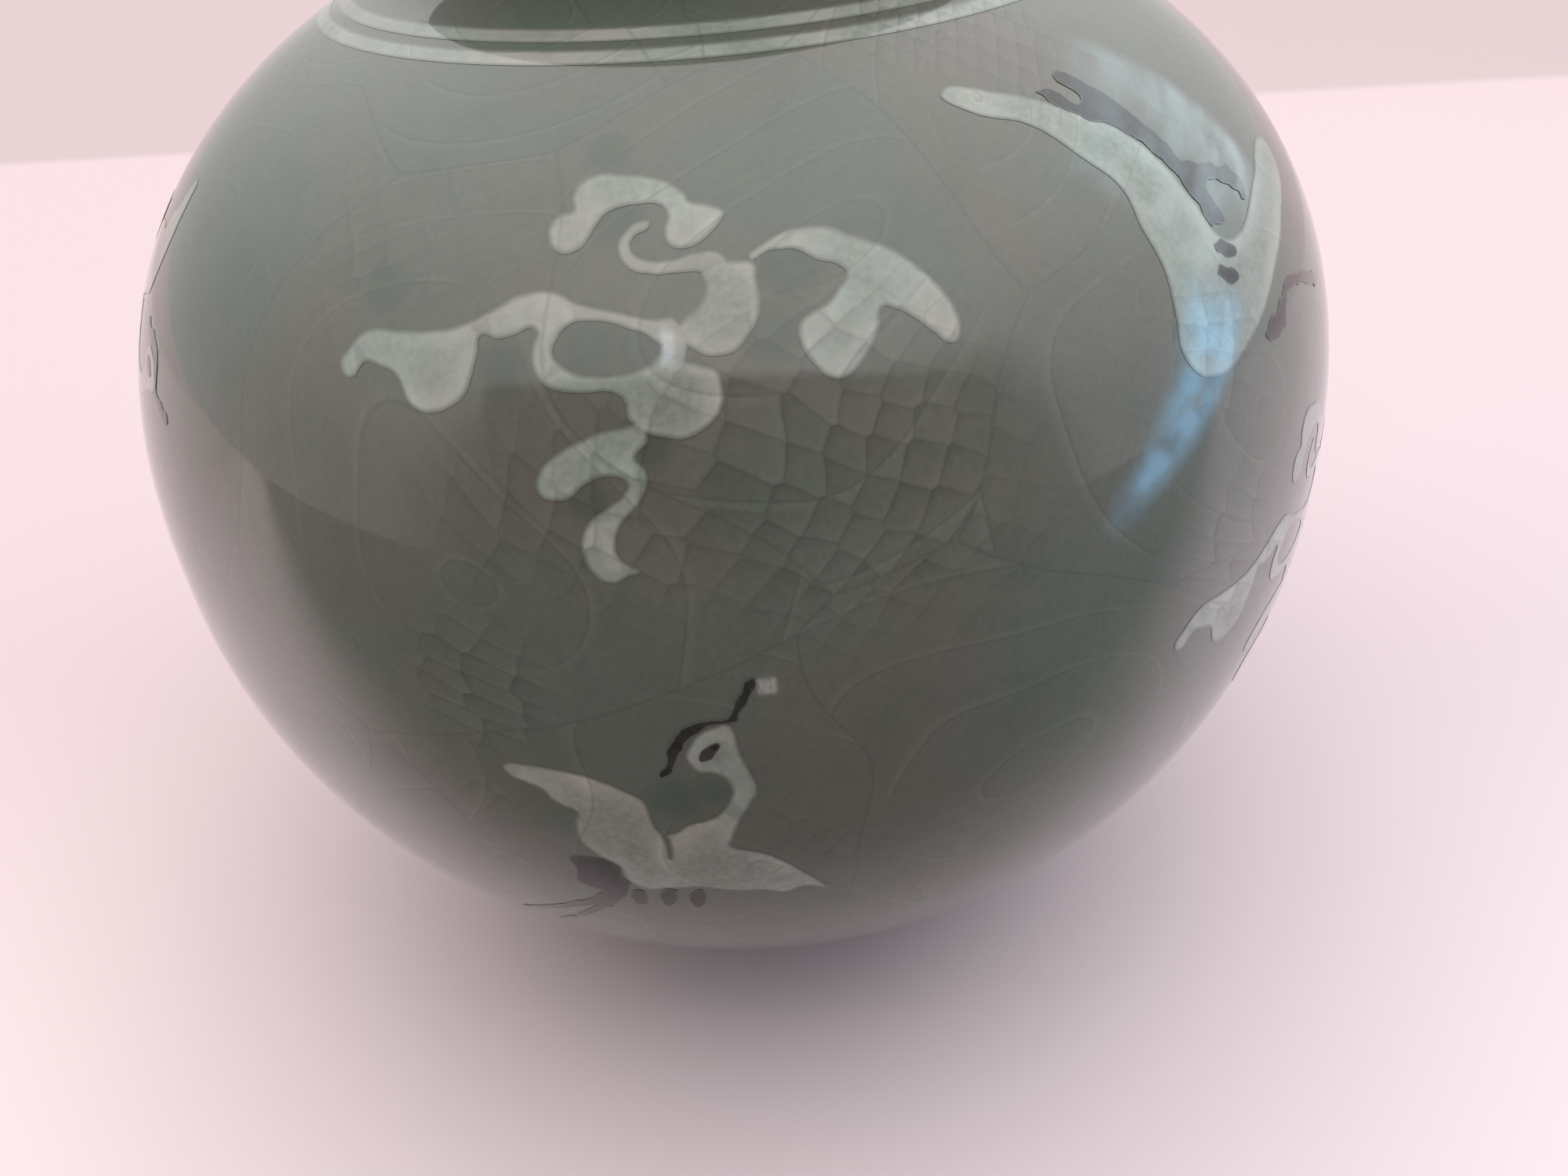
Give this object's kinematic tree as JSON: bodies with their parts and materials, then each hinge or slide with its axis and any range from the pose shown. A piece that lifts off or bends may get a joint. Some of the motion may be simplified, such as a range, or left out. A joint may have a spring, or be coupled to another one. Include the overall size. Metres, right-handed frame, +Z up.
{
  "type": "celadon vase",
  "caption": "Small globular celadon vase with a low neck and a foot ring, with clouds and flying cranes inlaid in white and black slip under a crackled glaze.",
  "frame": {"origin": "centre of the foot ring's underside, where the vase rests", "axes": "+Z up along the vase's axis of rotation, -Y towards the pictured side, +X to the right as seen from there"},
  "size_m": [0.09, 0.09, 0.0844],
  "materials": {
    "celadon_glaze": "glossy grey-green celadon glaze with a fine crackle",
    "bare_foot_clay": "unglazed fired stoneware, matte",
    "white_slip": "white slip under the glossy crackled glaze",
    "black_slip": "black slip under the glossy crackled glaze"
  },
  "bodies": {
    "root": {"body_shell": "celadon_glaze", "neck_collar": "celadon_glaze", "foot_ring": "bare_foot_clay", "shoulder_line_1": "white_slip", "shoulder_line_2": "white_slip", "cloud_shoulder_front": "white_slip", "cloud_shoulder_right": "white_slip", "cloud_shoulder_left": "white_slip", "cloud_belly_right": "white_slip", "cloud_belly_back": "white_slip", "crane_belly_front_plumage": "white_slip", "crane_belly_front_crest": "black_slip", "crane_belly_front_eye": "black_slip", "crane_belly_front_tail": "black_slip", "crane_belly_front_feather_1": "black_slip", "crane_belly_front_feather_2": "black_slip", "crane_belly_front_feather_3": "black_slip", "crane_belly_right_plumage": "white_slip", "crane_belly_right_crest": "black_slip", "crane_belly_right_eye": "black_slip", "crane_belly_right_tail": "black_slip", "crane_belly_right_feather_1": "black_slip", "crane_belly_right_feather_2": "black_slip", "crane_belly_right_feather_3": "black_slip", "crane_belly_left_plumage": "white_slip", "crane_belly_left_crest": "black_slip", "crane_belly_left_eye": "black_slip", "crane_belly_left_tail": "black_slip", "crane_belly_left_feather_1": "black_slip", "crane_belly_left_feather_2": "black_slip", "crane_belly_left_feather_3": "black_slip", "crane_shoulder_left_plumage": "white_slip", "crane_shoulder_left_crest": "black_slip", "crane_shoulder_left_eye": "black_slip", "crane_shoulder_left_tail": "black_slip", "crane_shoulder_left_feather_1": "black_slip", "crane_shoulder_left_feather_2": "black_slip", "crane_shoulder_left_feather_3": "black_slip", "crane_shoulder_back_plumage": "white_slip", "crane_shoulder_back_crest": "black_slip", "crane_shoulder_back_eye": "black_slip", "crane_shoulder_back_tail": "black_slip", "crane_shoulder_back_feather_1": "black_slip", "crane_shoulder_back_feather_2": "black_slip", "crane_shoulder_back_feather_3": "black_slip", "crane_shoulder_right_plumage": "white_slip", "crane_shoulder_right_flight_row": "black_slip", "crane_shoulder_right_feather_1": "black_slip", "crane_shoulder_right_feather_2": "black_slip", "crane_shoulder_right_crest": "black_slip"}
  },
  "joints": []
}
